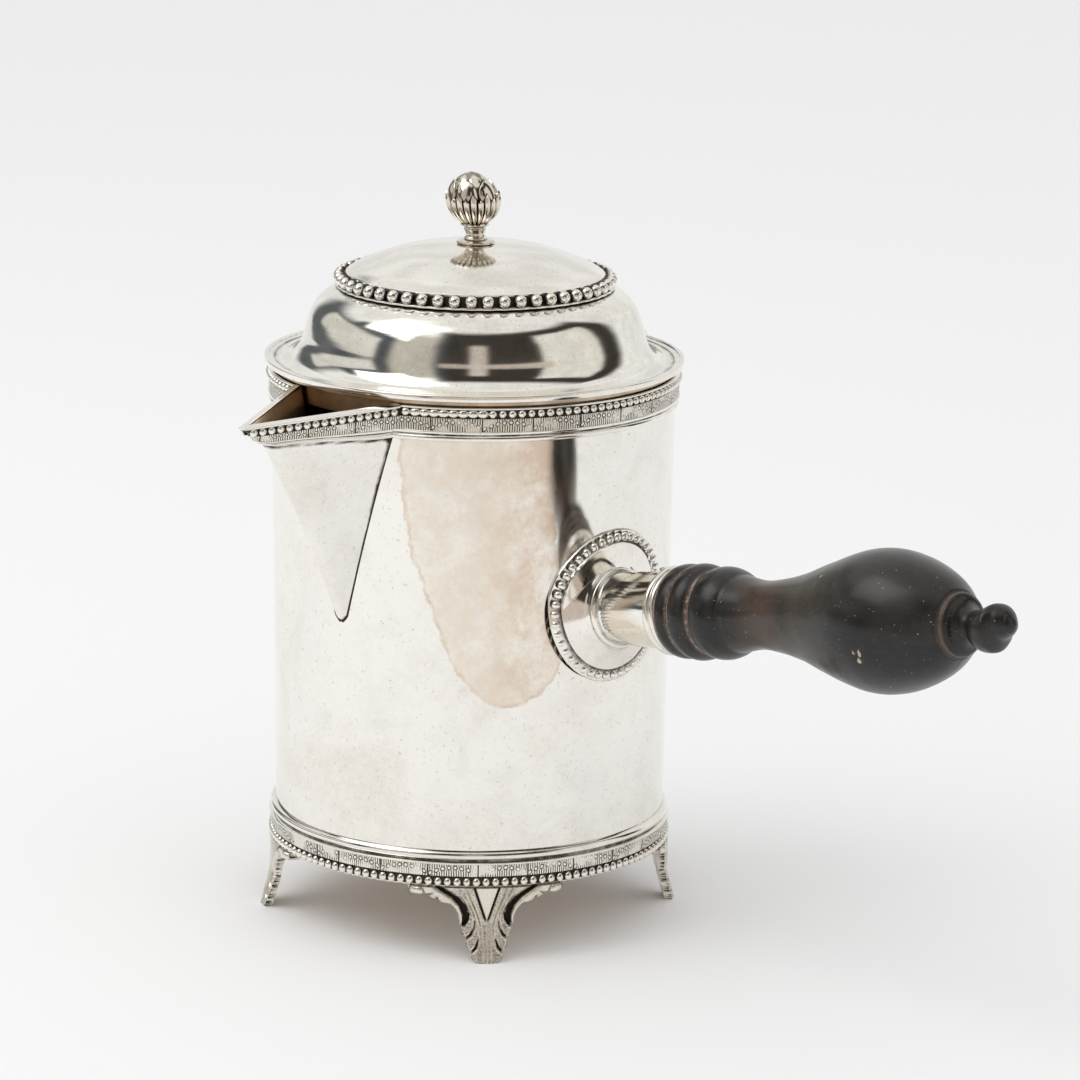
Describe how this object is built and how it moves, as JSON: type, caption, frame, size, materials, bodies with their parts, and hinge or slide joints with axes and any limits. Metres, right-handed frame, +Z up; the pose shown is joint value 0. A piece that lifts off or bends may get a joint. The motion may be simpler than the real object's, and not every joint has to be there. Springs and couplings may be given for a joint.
{
  "type": "milk jug",
  "caption": "Silver milk jug with a beaded hinged lid, a V-shaped beak spout, a turned dark wooden side handle and scrolled cast feet.",
  "frame": {"origin": "centre of the four feet on the table", "axes": "+Z up, the spout points along -Y, the lid's hinge is on +Y, and the handle stands towards +X, a little nearer the spout than square to it"},
  "size_m": [0.2378, 0.1491, 0.1946],
  "materials": {
    "silver": "polished, lightly tarnished silver",
    "dark_wood": "worn dark stained hardwood, satin"
  },
  "bodies": {
    "jug": {"body_shell": "silver", "base_plate": "silver", "base_band": "silver", "base_beads": "silver", "rim_band": "silver", "rim_beads": "silver", "spout_shell": "silver", "spout_band_right": "silver", "spout_band_left": "silver", "spout_beads_right": "silver", "spout_beads_left": "silver", "foot_front_right": "silver", "foot_back_right": "silver", "foot_back_left": "silver", "foot_front_left": "silver", "escutcheon": "silver", "escutcheon_beads": "silver", "handle_socket": "silver", "handle_ferrule": "silver", "ferrule_wires": "silver", "handle_pin": "silver", "wood_handle": "dark_wood", "hinge_body_leaf": "silver", "hinge_pin": "silver"},
    "lid": {"lid_shoulder": "silver", "lid_dome": "silver", "lid_bead_wire": "silver", "lid_beads": "silver", "lid_bezel": "silver", "finial_pedestal": "silver", "finial_bud": "silver", "finial_stud": "silver", "finial_nut": "silver", "hinge_lid_leaf": "silver"}
  },
  "joints": [
    {"name": "lid_hinge", "type": "hinge", "parent": "jug", "child": "lid", "pos_m": [0, 0.0573, 0.1453], "axis": [-1, 0, 0], "range_deg": [0, 100]}
  ]
}
